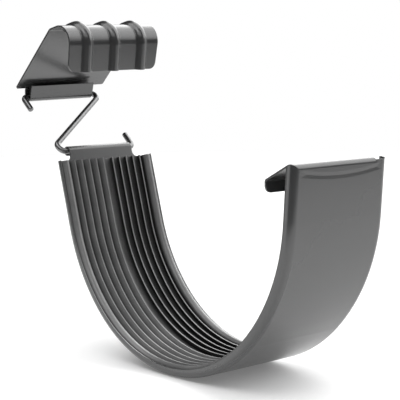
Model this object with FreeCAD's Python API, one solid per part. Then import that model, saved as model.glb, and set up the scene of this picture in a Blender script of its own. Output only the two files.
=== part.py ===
import FreeCAD, Part
import math
import os
from FreeCAD import Rotation, Vector

# Gutter union: a sheet strap with a ribbed rubber seal goes round the outside of a half-round
# gutter, hooks over its rear edge and is pulled tight at the front bead by a wire link and lever.
# Millimetres and degrees. X runs across the gutter, from the latch (-X) to the rear hook (+X).
# Y runs along the gutter and Z is up. The origin is the centre of the strap's bottom arc,
# midway along the strap's width.

# Strap: outside radii of the three-centred section, wall leans and edge flanges
SHEET = 0.7
STRAP_WIDTH = 49.6
BOTTOM_RADIUS = 64.0
BOTTOM_HALF_ANGLE = 45.0
SIDE_RADIUS = 73.9
FRONT_LEAN = 15.3
REAR_LEAN = 4.4
FRONT_TOP = 15.4
REAR_TOP = 21.9
FLANGE_BEND = 3.0
FLANGE_LIP = 0.7

# Rear hook, folded over from the strap's rear top
HOOK_FOLD_BELOW_TOP = 1.6
HOOK_BEND = 1.9
HOOK_DIP = 27.4
HOOK_RUN = 11.9
LIP_BEND = 1.4
LIP_RUN = 3.8
LIP_CORNER = 2.6
HOOK_FAR_INSET = 6.3
HOOK_FAR_CUT = 2.5
EAR_WIDTH = 1.5
NOTCH_DEPTH = 0.4

# Seal: base strip, rounded edge ribs and lips that lean toward the middle
SEAL_GAP = 0.05
SEAL_BASE = 1.2
SEAL_FRONT_INSET = 0.3
SEAL_REAR_INSET = 3.6
LIP_FIRST_TIP = 2.5
LIP_PITCH = 3.78
LIP_HEIGHT = 2.35
LIP_LEAN = 1.5
LIP_ROOT = 1.5
LIP_TIP = 0.6
EDGE_RIB_WIDTH = 4.0
EDGE_RIB_HEIGHT = 2.8
EDGE_RIB_SHOULDER = 0.9

# Wire link: Z-shaped wire with a leg in each curl and a bent stop on each free end
WIRE = 2.5
PIVOT_GAP = 0.08
LINK_LENGTH = 34.5
LINK_ANGLE = 137.7
LINK_LEAN = 1.7          # the upper leg isn't quite parallel to the lower one
LOW_BEND = 2.9
HIGH_BEND = 2.2
BEND_FROM_CURL = 0.1
STOP_BEND = 2.5
STOP_FROM_CURL = 0.15
STOP_LENGTH = 8.2
WIRE_TIP_ROUND = 0.5

# Front tab of the strap, curled round the wire's lower leg
TAB_WIDTH = 33.5
TAB_RISE = 4.6
TAB_ROOT = 2.2
TAB_CURL_TURN = 250.0

# Lever: plate, crest and bead hook, with a tongue curled round the wire's upper leg
LEVER_WIDTH = 48.1
LEVER_SHIFT = -0.6
LEVER_TILT = 43.3
PLATE_OFFSET = 3.9
PLATE_RUN = 35.7
PLATE_CORNER = 0.8
CREST_BEND = 2.5
CREST_TURN = 31.3
CREST_RUN = 4.3
BEAD_HOOK_BEND = 7.4
BEAD_HOOK_LEAN = 8.0
BEAD_HOOK_RUN = 11.2
BEAD_HOOK_SLANT = 1.0    # its far side runs in toward the lower edge
BEAD_HOOK_CORNER = 3.2
TONGUE_WIDTH = 34.3
TONGUE_SHIFT = -2.05
TONGUE_FLAT = 0.3
TONGUE_BEND = 2.2
TONGUE_FACE_LEAN = 16.0
TONGUE_FACE_RUN = 5.5
RIB_COUNT = 3
RIB_PITCH = 14.7
RIB_WIDTH = 6.5
RIB_HEIGHT = 1.7
RIB_FOOT = 0.8
RIB_START = 1.6

ALONG = Vector(0, 1, 0)
UP = Vector(0, 0, 1)
OVERSIZE = 5.0          # how far a cutting block runs past what it cuts
SAME = 1e-3             # lengths closer than this are the same

half_width = STRAP_WIDTH / 2
hook_far_end = half_width - HOOK_FAR_INSET
flange_height = FLANGE_BEND + FLANGE_LIP
hole_radius = WIRE / 2 + PIVOT_GAP
curl_radius = hole_radius + SHEET
diagonal = math.sin(math.radians(45))


def heading_at(angle):
    """Unit vector in the XZ plane, with the angle measured from +X toward +Z."""
    return Vector(math.cos(math.radians(angle)), 0, math.sin(math.radians(angle)))


def face_of(nodes, to_space):
    """Closed face. A node (a, b) ends a line; (am, bm, a, b) ends an arc through (am, bm)."""
    edges = []
    last = to_space(*nodes[-1][-2:])
    for node in nodes:
        end = to_space(*node[-2:])
        if len(node) == 4:
            edges.append(Part.Arc(last, to_space(*node[:2]), end).toShape())
        else:
            edges.append(Part.LineSegment(last, end).toShape())
        last = end
    return Part.Face(Part.Wire(edges))


def join(solids):
    """One solid from pieces that share faces, with no seams left between them."""
    whole = solids[0] if len(solids) == 1 else solids[0].multiFuse(solids[1:])
    return whole.removeSplitter()


def bend_of(place, heading, left, radius, turn):
    """Centre, axis and angle of a bend; a left turn is positive."""
    side = math.copysign(1, turn)
    return place + left * (radius * side), heading.cross(left) * side, abs(turn)


def walk(place, heading, left, moves):
    """Where runs (length, 0) and bends (radius, turn) lead, as place, heading and left side."""
    for size, turn in moves:
        if turn == 0:
            place = place + heading * size
            continue
        centre, axis, angle = bend_of(place, heading, left, size, turn)
        turning = Rotation(axis, angle)
        place = centre + turning.multVec(place - centre)
        heading = turning.multVec(heading)
        left = turning.multVec(left)
    return place, heading, left


def carry(face, place, heading, left, moves):
    """Carries a section along runs and bends, and joins the lengths that it sweeps."""
    solids = []
    for move in moves:
        size, turn = move
        if turn == 0:
            solids.append(face.extrude(heading * size))
            face = face.translated(heading * size)
        else:
            centre, axis, angle = bend_of(place, heading, left, size, turn)
            solids.append(face.revolve(centre, axis, angle))
            face = face.rotated(centre, axis, angle)
        place, heading, left = walk(place, heading, left, [move])
    return join(solids)


def across(place, left):
    """Section coordinates: along the gutter, then from the path toward its left side."""
    return lambda y, h: place + ALONG * y + left * h


def sheet_face(place, left, y_from, y_to, h_from, h_to):
    nodes = [(y_from, h_from), (y_to, h_from), (y_to, h_to), (y_from, h_to)]
    return face_of(nodes, across(place, left))


def corner_edges(shape, direction, level):
    """Edges across the sheet that lie at a level along a direction."""
    return [edge for edge in shape.Edges
            if abs(edge.Length - SHEET) < SAME
            and abs(edge.CenterOfMass.dot(direction) - level) < SHEET]


def block(x_range, y_range, z_range):
    size = [high - low for low, high in (x_range, y_range, z_range)]
    return Part.makeBox(*size, Vector(x_range[0], y_range[0], z_range[0]))


def strap_path(front_inset, rear_inset):
    """Start, heading, left side and moves of the strap's outer surface, front top to rear top."""
    side_shift = heading_at(90 - BOTTOM_HALF_ANGLE) * (SIDE_RADIUS - BOTTOM_RADIUS)
    down = heading_at(FRONT_LEAN - 90)
    inward = heading_at(FRONT_LEAN)
    front_tangent = side_shift - inward * SIDE_RADIUS
    front_run = (FRONT_TOP - front_tangent.z) / -down.z - front_inset
    rear_centre = Vector(-side_shift.x, 0, side_shift.z)
    rear_tangent = rear_centre - heading_at(180 - REAR_LEAN) * SIDE_RADIUS
    rear_run = (REAR_TOP - rear_tangent.z) / heading_at(90 - REAR_LEAN).z - rear_inset
    moves = [
        (front_run, 0),
        (SIDE_RADIUS, 90 - FRONT_LEAN - BOTTOM_HALF_ANGLE),
        (BOTTOM_RADIUS, 2 * BOTTOM_HALF_ANGLE),
        (SIDE_RADIUS, 90 - REAR_LEAN - BOTTOM_HALF_ANGLE),
        (rear_run, 0),
    ]
    return front_tangent - down * front_run, down, inward, moves


def rear_wall_point(height):
    """Point of the rear wall's outer surface at a height in its straight upper part."""
    rear_centre = heading_at(90 + BOTTOM_HALF_ANGLE) * (SIDE_RADIUS - BOTTOM_RADIUS)
    tangent = rear_centre - heading_at(180 - REAR_LEAN) * SIDE_RADIUS
    up = heading_at(90 - REAR_LEAN)
    return tangent + up * ((height - tangent.z) / up.z)


def channel_nodes():
    """Section of the strap: flat wall with both edges turned inward."""
    flat = half_width - FLANGE_BEND
    inner = FLANGE_BEND - SHEET
    out = FLANGE_BEND * diagonal
    into = inner * diagonal
    return [
        (-half_width, FLANGE_BEND),
        (-flat - out, FLANGE_BEND - out, -flat, 0),
        (flat, 0),
        (flat + out, FLANGE_BEND - out, half_width, FLANGE_BEND),
        (half_width, flange_height),
        (half_width - SHEET, flange_height),
        (half_width - SHEET, FLANGE_BEND),
        (flat + into, FLANGE_BEND - into, flat, SHEET),
        (-flat, SHEET),
        (-flat - into, FLANGE_BEND - into, SHEET - half_width, FLANGE_BEND),
        (SHEET - half_width, flange_height),
        (-half_width, flange_height),
    ]


def hook_profile():
    """Rear hook in the XZ plane, seen as a path on its outer surface from the wall's top."""
    start = rear_wall_point(REAR_TOP - HOOK_FOLD_BELOW_TOP)
    fold = 90 + REAR_LEAN + HOOK_DIP
    moves = [(HOOK_BEND, fold), (HOOK_RUN, 0), (LIP_BEND, 90 - HOOK_DIP), (LIP_RUN, 0)]
    return start, heading_at(90 - REAR_LEAN), heading_at(180 - REAR_LEAN), moves


def hook_solid():
    start, up, inward, moves = hook_profile()
    section = sheet_face(start, inward, -half_width, hook_far_end, 0, SHEET)
    hook = carry(section, start, up, inward, moves)

    # The fold keeps the strap's rounded edge where the two meet.
    depth = HOOK_RUN + 2 * OVERSIZE
    out = FLANGE_BEND * diagonal
    flat = half_width - FLANGE_BEND
    rounded = [
        (-half_width, FLANGE_BEND),
        (-flat - out, FLANGE_BEND - out, -flat, 0),
        (half_width, 0),
        (half_width, depth),
        (-half_width, depth),
    ]
    low = start - up * (HOOK_RUN + OVERSIZE)
    envelope = face_of(rounded, across(low, inward)).extrude(up * (HOOK_RUN + 2 * OVERSIZE))
    hook = hook.common(envelope)

    # The fold's far end is cut off at a slant, and the lip's lower corners are rounded.
    top = REAR_TOP + OVERSIZE
    notch_floor = REAR_TOP - NOTCH_DEPTH
    slant = [(hook_far_end - HOOK_FAR_CUT, top), (hook_far_end + SHEET, top),
             (hook_far_end + SHEET, notch_floor), (hook_far_end, notch_floor)]
    slant_face = face_of(slant, lambda y, z: Vector(0, y, z))
    hook = hook.cut(slant_face.extrude(Vector(start.x + OVERSIZE, 0, 0)))
    lip_end = walk(start, up, inward, moves)[0]
    return hook.makeFillet(LIP_CORNER, corner_edges(hook, UP, lip_end.z))


def above_hook():
    """What lies outside the hook's outer surface, up to the hook's far end."""
    start, up, inward, moves = hook_profile()
    low = start - up * OVERSIZE
    arc_centre = start + inward * HOOK_BEND
    fold = moves[0][1]
    slope_left = Rotation(Vector(0, -1, 0), fold).multVec(inward)
    slope_start = arc_centre - slope_left * HOOK_BEND
    arc_middle = arc_centre - Rotation(Vector(0, -1, 0), fold / 2).multVec(inward) * HOOK_BEND
    slope_end = slope_start + heading_at(180 + HOOK_DIP) * HOOK_RUN
    filled = [(low.x, low.z), (start.x, start.z),
              (arc_middle.x, arc_middle.z, slope_start.x, slope_start.z),
              (slope_end.x, slope_end.z), (slope_end.x, low.z)]
    span = hook_far_end + half_width + OVERSIZE
    under = face_of(filled, lambda x, z: Vector(x, -half_width - OVERSIZE, z))
    under = under.extrude(ALONG * span)
    around = block((slope_end.x, low.x + 2 * OVERSIZE),
                   (-half_width - OVERSIZE, hook_far_end), (start.z, start.z + 3 * OVERSIZE))
    return around.cut(under)


def tab_solid(tab_start, up, inward):
    """Front tab: a tongue that rises from the wall with filleted roots and ends in a curl."""
    half = TAB_WIDTH / 2
    root = TAB_ROOT * (1 - diagonal)
    nodes = [
        (-half - TAB_ROOT, -TAB_ROOT),
        (-half - TAB_ROOT, 0),
        (-half - root, root, -half, TAB_ROOT),
        (-half, TAB_RISE),
        (half, TAB_RISE),
        (half, TAB_ROOT),
        (half + root, root, half + TAB_ROOT, 0),
        (half + TAB_ROOT, -TAB_ROOT),
    ]
    plate = face_of(nodes, lambda y, s: tab_start + ALONG * y + up * s).extrude(inward * SHEET)
    curl_start = tab_start + up * TAB_RISE
    outward = inward * -1
    section = sheet_face(curl_start, outward, -half, half, -SHEET, 0)
    curl = carry(section, curl_start, up, outward, [(hole_radius, TAB_CURL_TURN)])
    return [plate, curl]


def low_axis():
    """Axis of the wire's lower leg, inside the tab's curl."""
    start, down, inward, _ = strap_path(0, 0)
    return start - down * TAB_RISE - inward * hole_radius


def make_strap():
    start, down, inward, moves = strap_path(0, 0)
    body = carry(face_of(channel_nodes(), across(start, inward)), start, down, inward, moves)
    body = body.cut(above_hook())
    notch = block((start.x + BOTTOM_RADIUS, half_width * 4),
                  (hook_far_end, half_width - EAR_WIDTH),
                  (REAR_TOP - NOTCH_DEPTH, REAR_TOP + OVERSIZE))
    body = body.cut(notch)
    return join([body, hook_solid()] + tab_solid(start, down * -1, inward))


def lip_nodes(side):
    """Lips and edge rib of one half of the seal, from the middle outward."""
    floor = SHEET + SEAL_GAP + SEAL_BASE
    crest = floor + LIP_HEIGHT
    outer = half_width - SHEET - SEAL_GAP
    inner = outer - EDGE_RIB_WIDTH
    lip_room = inner - LIP_FIRST_TIP - LIP_LEAN - LIP_ROOT / 2
    nodes = []
    for number in range(int(lip_room / LIP_PITCH) + 1):
        tip = LIP_FIRST_TIP + number * LIP_PITCH
        root = tip + LIP_LEAN
        nodes.append((side * (root - LIP_ROOT / 2), floor))
        nodes.append((side * (tip - LIP_TIP / 2), crest))
        nodes.append((side * (tip + LIP_TIP / 2), crest))
        nodes.append((side * (root + LIP_ROOT / 2), floor))
    shoulder = floor + EDGE_RIB_SHOULDER
    nodes.append((side * inner, floor))
    nodes.append((side * inner, shoulder))
    nodes.append((side * (outer - EDGE_RIB_WIDTH / 2), floor + EDGE_RIB_HEIGHT,
                  side * outer, max(shoulder, FLANGE_BEND)))
    return nodes


def mirrored_back(nodes):
    """The same outline on the other half, walked the other way round."""
    back = []
    for index in range(len(nodes) - 1, -1, -1):
        y, h = nodes[index][-2:]
        arc = index + 1 < len(nodes) and len(nodes[index + 1]) == 4
        if arc:
            middle_y, middle_h = nodes[index + 1][:2]
            back.append((-middle_y, middle_h, -y, h))
        else:
            back.append((-y, h))
    return back


def make_seal():
    right = lip_nodes(1)
    flat = half_width - FLANGE_BEND
    inner = FLANGE_BEND - SHEET - SEAL_GAP
    into = inner * diagonal
    base = SHEET + SEAL_GAP
    outer = half_width - SHEET - SEAL_GAP
    underside = [
        (outer, FLANGE_BEND),
        (flat + into, FLANGE_BEND - into, flat, base),
        (-flat, base),
        (-flat - into, FLANGE_BEND - into, -outer, FLANGE_BEND),
    ]
    if abs(right[-1][-1] - FLANGE_BEND) < 1e-6:
        underside = underside[1:]
    back = mirrored_back(right)
    if abs(back[0][-1] - FLANGE_BEND) < 1e-6:
        back = back[1:]
    start, down, inward, moves = strap_path(SEAL_FRONT_INSET, SEAL_REAR_INSET)
    section = face_of(right + underside + back, across(start, inward))
    return carry(section, start, down, inward, moves)


def upper_pivot(axis_low):
    """Middle of the wire's upper leg, which is also the middle of the lever's curl."""
    return axis_low + heading_at(LINK_ANGLE) * LINK_LENGTH + ALONG * TONGUE_SHIFT


def leg_directions():
    """Along the wire's upper leg, and square to it in the wire's plane, away from the strap."""
    toward_top = heading_at(LINK_ANGLE)
    lean = math.radians(LINK_LEAN)
    along_leg = ALONG * math.cos(lean) + toward_top * math.sin(lean)
    return along_leg, toward_top * math.cos(lean) - ALONG * math.sin(lean)


def make_wire_link(axis_low):
    """Z of round wire, carried from the tip of the upper stop to the tip of the lower one."""
    toward_top = heading_at(LINK_ANGLE)
    along_leg, off_leg = leg_directions()
    pivot = upper_pivot(axis_low)
    low_corner = axis_low - ALONG * (TAB_WIDTH / 2 + BEND_FROM_CURL)
    high_corner = pivot + along_leg * (TONGUE_WIDTH / 2 + BEND_FROM_CURL)

    # The diagonal is the inner tangent of the two bends' centre circles.
    apart = high_corner - off_leg * HIGH_BEND - low_corner - toward_top * LOW_BEND
    both_bends = LOW_BEND + HIGH_BEND
    slope = math.degrees(math.atan2(apart.dot(toward_top), apart.dot(ALONG))
                         - math.asin(both_bends / apart.Length))
    diagonal_run = math.sqrt(apart.Length ** 2 - both_bends ** 2)

    high_elbow = pivot - along_leg * (TONGUE_WIDTH / 2 + STOP_FROM_CURL + STOP_BEND)
    tip = high_elbow - off_leg * STOP_LENGTH
    moves = [
        (STOP_LENGTH - STOP_BEND, 0),
        (STOP_BEND, -90),
        (TONGUE_WIDTH + STOP_FROM_CURL + BEND_FROM_CURL, 0),
        (HIGH_BEND, slope - 180 - LINK_LEAN),
        (diagonal_run, 0),
        (LOW_BEND, 180 - slope),
        (TAB_WIDTH + STOP_FROM_CURL + BEND_FROM_CURL, 0),
        (STOP_BEND, 90),
        (STOP_LENGTH - STOP_BEND, 0),
    ]
    circle = Part.Circle(tip, off_leg, WIRE / 2)
    section = Part.Face(Part.Wire(circle.toShape()))
    link = carry(section, tip, off_leg, along_leg * -1, moves)
    low_tip = walk(tip, off_leg, along_leg * -1, moves)[0]
    ends = [edge for edge in link.Edges
            if min((edge.CenterOfMass - place).Length for place in (tip, low_tip)) < SAME]
    return link.makeFillet(WIRE_TIP_ROUND, ends)


def rib_arcs(depth):
    """Right half of a rib's section as arcs, from its crown to its foot, set in by a depth."""
    half = RIB_WIDTH / 2
    crown = (half ** 2 + RIB_HEIGHT ** 2) / (2 * RIB_HEIGHT) - RIB_FOOT
    crown_centre = RIB_HEIGHT - crown
    lean = math.atan2(half, RIB_FOOT - crown_centre)
    crown_radius = crown - depth
    foot_radius = RIB_FOOT + depth

    def on_crown(angle):
        return crown_radius * math.sin(angle), crown_centre + crown_radius * math.cos(angle)

    def on_foot(angle):
        return half - foot_radius * math.sin(angle), RIB_FOOT - foot_radius * math.cos(angle)

    return [on_crown(0), on_crown(lean / 2) + on_crown(lean), on_foot(lean / 2) + on_foot(0)]


def rib_section(depth, floor):
    """A rib's whole section, from its left foot over the crown, closed at a floor below."""
    top, crown, foot = rib_arcs(depth)
    half = RIB_WIDTH / 2
    return [
        (-foot[2], floor),
        (-foot[2], foot[3]),
        (-foot[0], foot[1], -crown[2], crown[3]),
        top + (crown[2], crown[3]),
        foot,
        (half, floor),
    ]


def rib_solid(middle, place, heading, outward, moves, depth, floor):
    """One rib: a rounded end on the crest, then the section along the path."""
    start = place + ALONG * middle
    section = face_of(rib_section(depth, floor), across(start, outward))
    top, crown, foot = rib_arcs(depth)
    half_section = [(0, floor), top, crown, foot, (foot[2], floor)]
    end = face_of(half_section, across(start, outward)).revolve(start, outward, 180)
    return join([end, carry(section, start, heading, outward, moves)])


def tongue_moves():
    """Where the bend of the tongue begins, from the foot of the axis on the plate, and its path."""
    tilt = math.radians(LEVER_TILT)
    corner = (PLATE_OFFSET * math.sin(tilt) - curl_radius) / math.cos(tilt)
    turn = 90 - LEVER_TILT
    setback = TONGUE_BEND * math.tan(math.radians(turn / 2))
    drop = PLATE_OFFSET * math.cos(tilt) + corner * math.sin(tilt) - setback
    moves = [
        (TONGUE_FLAT, 0),
        (TONGUE_BEND, turn),
        (drop, 0),
        (curl_radius, 180 - TONGUE_FACE_LEAN),
        (TONGUE_FACE_RUN, 0),
    ]
    return corner + setback, moves


def slanted(body, top, down, outward):
    """Cuts the far side of the hook's wall to a slant, from its top to its lower corner."""
    far = LEVER_SHIFT + LEVER_WIDTH / 2
    wedge = [
        (far, 0),
        (far + OVERSIZE, 0),
        (far + OVERSIZE, BEAD_HOOK_RUN + OVERSIZE),
        (far - BEAD_HOOK_SLANT, BEAD_HOOK_RUN + OVERSIZE),
        (far - BEAD_HOOK_SLANT, BEAD_HOOK_RUN),
    ]
    start = top - outward * OVERSIZE
    face = face_of(wedge, lambda y, s: start + ALONG * y + down * s)
    return body.cut(face.extrude(outward * (2 * OVERSIZE)))


def make_lever(axis_low):
    pivot = upper_pivot(axis_low)
    axis = pivot - ALONG * pivot.y
    tilt_up = heading_at(LEVER_TILT)
    upper_side = heading_at(LEVER_TILT + 90)
    bend_start, curl_moves = tongue_moves()
    half = LEVER_WIDTH / 2
    near, far = LEVER_SHIFT - half, LEVER_SHIFT + half

    # Plate, crest and bead hook; the wide plate ends above the tongue.
    plate_end = axis + upper_side * PLATE_OFFSET + tilt_up * (bend_start + TONGUE_FLAT)
    section = sheet_face(plate_end, upper_side, near, far, -SHEET, 0)
    moves = [
        (PLATE_RUN, 0),
        (CREST_BEND, -CREST_TURN),
        (CREST_RUN, 0),
        (BEAD_HOOK_BEND, CREST_TURN - LEVER_TILT - 90 - BEAD_HOOK_LEAN),
        (BEAD_HOOK_RUN, 0),
    ]
    body = carry(section, plate_end, tilt_up, upper_side, moves)
    body = slanted(body, *walk(plate_end, tilt_up, upper_side, moves[:4]))
    hook_end, down, _ = walk(plate_end, tilt_up, upper_side, moves)
    body = body.makeFillet(BEAD_HOOK_CORNER, corner_edges(body, down, hook_end.dot(down)))
    body = body.makeFillet(PLATE_CORNER, corner_edges(body, tilt_up, plate_end.dot(tilt_up)))

    # Ribs pressed outward, from the crest over the bead hook to its lower edge.
    crest = walk(plate_end, tilt_up, upper_side, moves[:2] + [(RIB_START, 0)])
    rib_moves = [(CREST_RUN - RIB_START, 0)] + moves[3:]
    for number in range(RIB_COUNT):
        middle = LEVER_SHIFT + (number - (RIB_COUNT - 1) / 2) * RIB_PITCH
        body = body.fuse(rib_solid(middle, *crest, rib_moves, 0, -SHEET / 2))
        body = body.cut(rib_solid(middle, *crest, rib_moves, SHEET, -2 * SHEET))

    # Tongue: down behind the wire, round it and up again to a free edge.
    tongue_near = TONGUE_SHIFT - TONGUE_WIDTH / 2
    tongue_far = TONGUE_SHIFT + TONGUE_WIDTH / 2
    tongue = sheet_face(plate_end, upper_side, tongue_near, tongue_far, -SHEET, 0)
    tongue = carry(tongue, plate_end, tilt_up * -1, upper_side * -1, curl_moves)
    lever = join([body, tongue])

    # The lever hangs on the wire's upper leg, so it leans as the leg does.
    return lever.rotated(pivot, ALONG.cross(heading_at(LINK_ANGLE)), LINK_LEAN)


def main():
    os.makedirs("parts", exist_ok=True)
    axis_low = low_axis()
    shapes = {
        "strap": make_strap(),
        "seal": make_seal(),
        "wire_link": make_wire_link(axis_low),
        "lever": make_lever(axis_low),
    }
    for name, shape in shapes.items():
        box = shape.optimalBoundingBox(False)
        print(name, "solids", len(shape.Solids), "valid", shape.isValid(),
              "volume %.1f" % shape.Volume,
              "X %.2f %.2f Y %.2f %.2f Z %.2f %.2f" % (box.XMin, box.XMax, box.YMin, box.YMax,
                                                       box.ZMin, box.ZMax))
        shape.exportStep("parts/%s.step" % name)
    print("lower leg axis", axis_low, "upper leg axis", upper_pivot(axis_low), leg_directions()[0])


main()
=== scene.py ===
import math

import bpy
from mathutils import Matrix, Vector


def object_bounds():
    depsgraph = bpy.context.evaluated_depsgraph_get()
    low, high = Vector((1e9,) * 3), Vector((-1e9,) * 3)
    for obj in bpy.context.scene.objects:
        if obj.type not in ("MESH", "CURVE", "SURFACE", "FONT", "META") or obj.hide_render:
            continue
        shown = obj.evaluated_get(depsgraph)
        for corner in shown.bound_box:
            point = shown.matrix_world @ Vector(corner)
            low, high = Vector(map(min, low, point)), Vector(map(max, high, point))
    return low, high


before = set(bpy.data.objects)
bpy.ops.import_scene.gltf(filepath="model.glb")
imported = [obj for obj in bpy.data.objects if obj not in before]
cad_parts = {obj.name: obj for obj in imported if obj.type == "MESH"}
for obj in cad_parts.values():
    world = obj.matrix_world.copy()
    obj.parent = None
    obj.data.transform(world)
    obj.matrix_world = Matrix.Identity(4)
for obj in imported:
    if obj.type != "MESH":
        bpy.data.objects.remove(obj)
cad_low, cad_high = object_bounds()

# Looks of a half-round gutter union: coated sheet strap and lever, black rubber seal, steel wire.
# Metres and degrees. X runs across the gutter, Y along it and Z up, as in the frame.

MM = 0.001

# Camera, solved from the photograph; its sensor is in millimetres
CAMERA_PLACE = Vector((364.346, -330.920, 59.136)) * MM
CAMERA_YAW = 48.355
CAMERA_PITCH = 6.518
CAMERA_ROLL = -0.621
CAMERA_NEAREST = 0.01
CAMERA_FARTHEST = 50
IMAGE_WIDTH = 400
FOCAL_PIXELS = 1254.09
SENSOR_WIDTH = 36.0

# Floor: a pale disc, shifted so that the strap's near bend reflects the dim room past its edge
FLOOR_GAP = 0.2 * MM
FLOOR_RADIUS = 0.7
FLOOR_MIDDLE = (-0.3, 0.3)
FLOOR_CORNERS = 64
FLOOR_COLOUR = (0.86, 0.86, 0.86, 1)
FLOOR_ROUGHNESS = 0.9
FLOOR_GLOW = 0.15

# Studio: each soft box has its azimuth from +X toward +Y, elevation, width, height and level
WHITE = (1, 1, 1, 1)
ROOM_LEVEL = 0.05
SOFT_EDGE = 4
SOFT_BOXES = (
    (225, 79, 360, 26, 1.7),
    (270, 58, 130, 22, 2.4),
    (91, 40, 100, 58, 2.6),
    (122, 34, 30, 24, 2.0),
    (80, 0, 46, 20, 0.8),
    (115, 4, 18, 18, 5.0),
    (250, -2, 40, 14, 1.8),
    (335, 42, 70, 30, 1.4),
)

# Noise patterns: scale, detail, roughness and stretch along X, Y and Z
EVEN = (1, 1, 1)
COATING_CLOUD = (35, 3, 0.5, EVEN)
COATING_GRAIN = (1400, 2, 0.6, EVEN)
RUBBER_CLOUD = (60, 4, 0.6, (1, 0.5, 1))
RUBBER_GRAIN = (900, 2, 0.6, EVEN)
WIRE_STREAKS = (500, 4, 0.6, EVEN)
GRAIN_STRENGTH = 0.3

# Coated sheet: shade and roughness run from the first value to the second with the cloud
CLOUD_RANGE = (0.2, 0.8)
COATING_SHADES = ((0.034, 0.0345, 0.035, 1), (0.042, 0.0425, 0.043, 1))
COATING_ROUGHNESS = (0.19, 0.25)
COATING_SPECULAR = 1.0
COATING_GRAIN_DEPTH = 0.02 * MM
EDGE_ROUNDING = 0.25 * MM
EDGE_SAMPLES = 6

# Press mark on the strap's rear wall: a shallow line that sags below the fold
CREASE_WALL_START = 60 * MM
CREASE_MIDDLE = -1.0 * MM
CREASE_HEIGHT = 17.2 * MM
CREASE_RISE = 4.1
CREASE_HALF_WIDTH = 1.3 * MM
CREASE_DEPTH = 0.06 * MM
CREASE_STRENGTH = 1.0
CREASE_END = 21 * MM
CREASE_FADE = 3 * MM

# Rubber: bloom on the lips; painted shade in the gaps between them, a near-black colour and
# dimmed gloss where the air is closed in; smoother on the edge ribs
BLOOM_RANGE = (0.35, 0.65)
BLOOM_SHADES = ((0.12, 0.12, 0.1205, 1), (0.17, 0.17, 0.1705, 1))
# Painted shade: the near-black colour put in the gaps between the lips, and the ranges of
# openness that bring it and the dimmed gloss in
PAINTED_GAP_SHADE = (0.03, 0.03, 0.03, 1)
GAP_DEPTH = 4.5 * MM
GAP_SAMPLES = 8
PAINTED_SHADE_RANGE = (0.4, 0.82)
PAINTED_SHADE_GLOSS_RANGE = (0.4, 0.85)
RUBBER_SPECULAR = (0.04, 0.5)
RUBBER_ROUGHNESS = (0.42, 0.24)
RUBBER_GRAIN_DEPTH = 0.03 * MM
RIB_START = 20.2 * MM
RIB_FADE = 0.5 * MM

# Drawn wire: shade and roughness run from the first value to the second with the streaks
STREAK_RANGE = (0.3, 0.7)
WIRE_SHADES = ((0.15, 0.15, 0.152, 1), (0.24, 0.24, 0.242, 1))
WIRE_ROUGHNESS = (0.25, 0.4)
WIRE_STREAK_DEPTH = 0.02 * MM


def camera_axes(yaw, pitch, roll):
    """Right, up and back of a camera that looks down by pitch and stands round by yaw."""
    yaw, pitch, roll = (math.radians(angle) for angle in (yaw, pitch, roll))
    back = Vector((math.sin(yaw) * math.cos(pitch), -math.cos(yaw) * math.cos(pitch),
                   math.sin(pitch)))
    level = (back * -1).cross(Vector((0, 0, 1))).normalized()
    upright = back.cross(level)
    right = level * math.cos(roll) + upright * math.sin(roll)
    up = upright * math.cos(roll) - level * math.sin(roll)
    return right, up, back


def make_camera():
    data = bpy.data.cameras.new("camera")
    data.sensor_width = SENSOR_WIDTH
    data.lens = FOCAL_PIXELS / IMAGE_WIDTH * SENSOR_WIDTH
    data.clip_start = CAMERA_NEAREST
    data.clip_end = CAMERA_FARTHEST
    camera = bpy.data.objects.new("camera", data)
    bpy.context.scene.collection.objects.link(camera)
    turn = Matrix(camera_axes(CAMERA_YAW, CAMERA_PITCH, CAMERA_ROLL)).transposed().to_4x4()
    camera.matrix_world = Matrix.Translation(CAMERA_PLACE) @ turn
    bpy.context.scene.camera = camera


class Nodes:
    """Adds the nodes of one tree. An input takes a number, a colour or another node's output."""

    def __init__(self, tree):
        self.tree = tree

    def feed(self, target, value):
        if isinstance(value, bpy.types.NodeSocket):
            self.tree.links.new(value, target)
        else:
            target.default_value = value

    def add(self, kind, inputs=None, **options):
        node = self.tree.nodes.new(kind)
        for name, value in options.items():
            setattr(node, name, value)
        for name, value in (inputs or {}).items():
            self.feed(node.inputs[name], value)
        return node

    def math(self, operation, *values):
        node = self.add("ShaderNodeMath", operation=operation)
        for target, value in zip(node.inputs, values):
            self.feed(target, value)
        return node.outputs[0]

    def span(self, value, source, result=(0, 1), interpolation="LINEAR"):
        """Maps a value from one range to another, held at the ends."""
        low, high = source
        first, last = result
        node = self.add("ShaderNodeMapRange",
                        {"Value": value, "From Min": low, "From Max": high,
                         "To Min": first, "To Max": last},
                        interpolation_type=interpolation)
        return node.outputs["Result"]

    def parts(self, vector):
        """X, Y and Z of a vector."""
        return self.add("ShaderNodeSeparateXYZ", {"Vector": vector}).outputs


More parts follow.
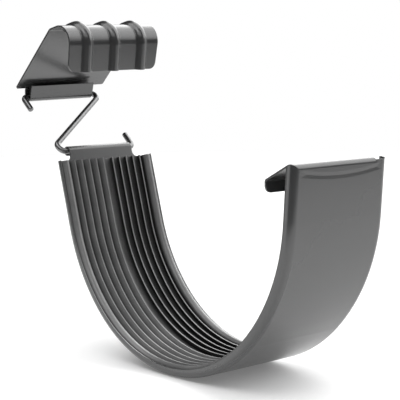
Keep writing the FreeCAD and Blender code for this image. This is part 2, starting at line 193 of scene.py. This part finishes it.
class Surface(Nodes):
    """A new material and the nodes that feed its shader."""

    def __init__(self, name):
        self.material = bpy.data.materials.new(name)
        self.material.use_nodes = True
        super().__init__(self.material.node_tree)

    def place(self):
        """Coordinates of the surface in the union's frame."""
        return self.add("ShaderNodeTexCoord").outputs["Object"]

    def noise(self, scale, detail, roughness, stretch):
        """Noise in object space, drawn out along an axis by a small stretch value."""
        vector = self.add("ShaderNodeMapping", {"Vector": self.place(), "Scale": stretch})
        texture = self.add("ShaderNodeTexNoise",
                           {"Vector": vector.outputs["Vector"], "Scale": scale,
                            "Detail": detail, "Roughness": roughness})
        return texture.outputs["Fac"]

    def mix(self, factor, first, second):
        """Colour between two others."""
        node = self.add("ShaderNodeMix", {"Factor": factor}, data_type="RGBA")
        colours = [target for target in node.inputs if target.type == "RGBA"]
        for target, value in zip(colours, (first, second)):
            self.feed(target, value)
        return [source for source in node.outputs if source.type == "RGBA"][0]

    def openness(self, distance):
        """How open the air near the surface is: one on a plain face, less in a gap."""
        node = self.add("ShaderNodeAmbientOcclusion", {"Distance": distance},
                        samples=GAP_SAMPLES)
        return node.outputs["AO"]

    def rounded_edges(self, radius):
        """Normal that turns gradually over each sharp edge."""
        node = self.add("ShaderNodeBevel", {"Radius": radius}, samples=EDGE_SAMPLES)
        return node.outputs["Normal"]

    def bump(self, heights, depth, strength, normal=None):
        """Normal of a surface with small heights, laid over another normal if there is one."""
        inputs = {"Height": heights, "Distance": depth, "Strength": strength}
        if normal is not None:
            inputs["Normal"] = normal
        return self.add("ShaderNodeBump", inputs).outputs["Normal"]

    def finish(self, inputs):
        """Feeds the shader's inputs by name and gives the material back."""
        shader = self.tree.nodes["Principled BSDF"]
        for name, value in inputs.items():
            self.feed(shader.inputs[name], value)
        return self.material


def rear_crease(surface):
    """Height of the rear wall round its press mark: zero on the mark, one away from it."""
    x, y, z = surface.parts(surface.place())
    aside = surface.math("SUBTRACT", y, CREASE_MIDDLE)
    rise = surface.math("MULTIPLY", surface.math("MULTIPLY", aside, aside), CREASE_RISE)
    away = surface.math("SUBTRACT", surface.math("SUBTRACT", z, CREASE_HEIGHT), rise)
    mark = surface.span(surface.math("ABSOLUTE", away), (0, CREASE_HALF_WIDTH))
    other_wall = surface.math("LESS_THAN", x, CREASE_WALL_START)
    past_end = surface.span(surface.math("ABSOLUTE", y), (CREASE_END - CREASE_FADE, CREASE_END))
    return surface.math("MAXIMUM", mark, surface.math("MAXIMUM", other_wall, past_end))


def painted_metal(name, creased):
    """Grey coating, semi-gloss, with rounded edges and a fine grain."""
    surface = Surface(name)
    cloud = surface.noise(*COATING_CLOUD)
    normal = surface.bump(surface.noise(*COATING_GRAIN), COATING_GRAIN_DEPTH, GRAIN_STRENGTH,
                          surface.rounded_edges(EDGE_ROUNDING))
    if creased:
        normal = surface.bump(rear_crease(surface), CREASE_DEPTH, CREASE_STRENGTH, normal)
    return surface.finish({
        "Base Color": surface.mix(surface.span(cloud, CLOUD_RANGE), *COATING_SHADES),
        "Roughness": surface.span(cloud, CLOUD_RANGE, COATING_ROUGHNESS),
        "Specular IOR Level": COATING_SPECULAR,
        "Normal": normal,
    })


def rubber(name):
    """Black rubber with painted shade: darker in colour and duller in gloss where the air near it
    is closed in.
    """
    surface = Surface(name)
    cloud = surface.noise(*RUBBER_CLOUD)
    painted_shade_openness = surface.openness(GAP_DEPTH)
    bloom = surface.mix(surface.span(cloud, BLOOM_RANGE), *BLOOM_SHADES)
    along = surface.parts(surface.place())["Y"]
    edge_rib = surface.span(surface.math("ABSOLUTE", along), (RIB_START, RIB_START + RIB_FADE))
    return surface.finish({
        # Painted shade: the colour goes to near black, and the gloss drops, in the closed-in gaps
        # between the lips
        "Base Color": surface.mix(surface.span(painted_shade_openness, PAINTED_SHADE_RANGE), PAINTED_GAP_SHADE, bloom),
        "Roughness": surface.span(edge_rib, (0, 1), RUBBER_ROUGHNESS),
        "Specular IOR Level": surface.span(painted_shade_openness, PAINTED_SHADE_GLOSS_RANGE, RUBBER_SPECULAR),
        "Normal": surface.bump(surface.noise(*RUBBER_GRAIN), RUBBER_GRAIN_DEPTH,
                               GRAIN_STRENGTH),
    })


def drawn_wire(name):
    """Dull grey steel with fine streaks."""
    surface = Surface(name)
    streaks = surface.noise(*WIRE_STREAKS)
    return surface.finish({
        "Base Color": surface.mix(surface.span(streaks, STREAK_RANGE), *WIRE_SHADES),
        "Roughness": surface.span(streaks, STREAK_RANGE, WIRE_ROUGHNESS),
        "Metallic": 1.0,
        "Normal": surface.bump(streaks, WIRE_STREAK_DEPTH, GRAIN_STRENGTH),
    })


def dress(name, material):
    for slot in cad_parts[name].material_slots:
        slot.material = material


def make_floor():
    """Pale floor that glows a little, as a lit table does."""
    turns = [2 * math.pi * i / FLOOR_CORNERS for i in range(FLOOR_CORNERS)]
    ring = [(FLOOR_RADIUS * math.cos(turn), FLOOR_RADIUS * math.sin(turn), 0) for turn in turns]
    data = bpy.data.meshes.new("floor")
    data.from_pydata(ring, [], [list(range(FLOOR_CORNERS))])
    data.materials.append(Surface("pale_floor").finish({
        "Base Color": FLOOR_COLOUR,
        "Roughness": FLOOR_ROUGHNESS,
        "Emission Color": WHITE,
        "Emission Strength": FLOOR_GLOW,
    }))
    floor = bpy.data.objects.new("floor", data)
    floor.location = (*FLOOR_MIDDLE, cad_low[2] - FLOOR_GAP)
    bpy.context.scene.collection.objects.link(floor)


class Sky(Nodes):
    """The studio as seen from the object: dim walls with soft boxes at set directions."""

    def __init__(self):
        self.world = bpy.data.worlds.new("studio")
        self.world.use_nodes = True
        super().__init__(self.world.node_tree)
        self.direction = self.add("ShaderNodeTexCoord").outputs["Generated"]

    def fade(self, angle, middle, half):
        """One within half an angle of the middle, and nothing past a soft edge."""
        away = self.math("ABSOLUTE", self.math("SUBTRACT", angle, middle))
        edge = (math.radians(half + SOFT_EDGE), math.radians(half - SOFT_EDGE))
        return self.span(away, edge, interpolation="SMOOTHSTEP")

    def soft_box(self, azimuth, elevation, width, height, level):
        """Light of one box that spans the given angles."""
        turn = self.add("ShaderNodeVectorRotate",
                        {"Vector": self.direction, "Angle": -math.radians(azimuth)},
                        rotation_type="Z_AXIS")
        x, y, z = self.parts(turn.outputs["Vector"])
        across = self.fade(self.math("ARCTAN2", y, x), 0, width / 2)
        upward = self.fade(self.math("ARCSINE", z), math.radians(elevation), height / 2)
        return self.math("MULTIPLY", self.math("MULTIPLY", across, upward), level)

    def finish(self, level):
        """White behind the object for the camera, and the studio for all other light."""
        studio = self.tree.nodes["Background"]
        self.feed(studio.inputs["Strength"], level)
        self.feed(studio.inputs["Color"], WHITE)
        backdrop = self.add("ShaderNodeBackground", {"Color": WHITE})
        rays = self.add("ShaderNodeLightPath")
        choice = self.add("ShaderNodeMixShader", {"Fac": rays.outputs["Is Camera Ray"]})
        self.feed(choice.inputs[1], studio.outputs["Background"])
        self.feed(choice.inputs[2], backdrop.outputs["Background"])
        self.feed(self.tree.nodes["World Output"].inputs["Surface"], choice.outputs["Shader"])
        bpy.context.scene.world = self.world


def make_studio():
    bpy.context.scene.view_settings.view_transform = "Standard"
    sky = Sky()
    first, *others = SOFT_BOXES
    level = sky.soft_box(*first)
    for box in others:
        level = sky.math("ADD", level, sky.soft_box(*box))
    sky.finish(sky.math("ADD", level, ROOM_LEVEL))


def main():
    make_camera()
    make_studio()
    make_floor()
    dress("strap", painted_metal("strap_coating", True))
    dress("lever", painted_metal("lever_coating", False))
    dress("seal", rubber("black_rubber"))
    dress("wire_link", drawn_wire("steel_wire"))


main()
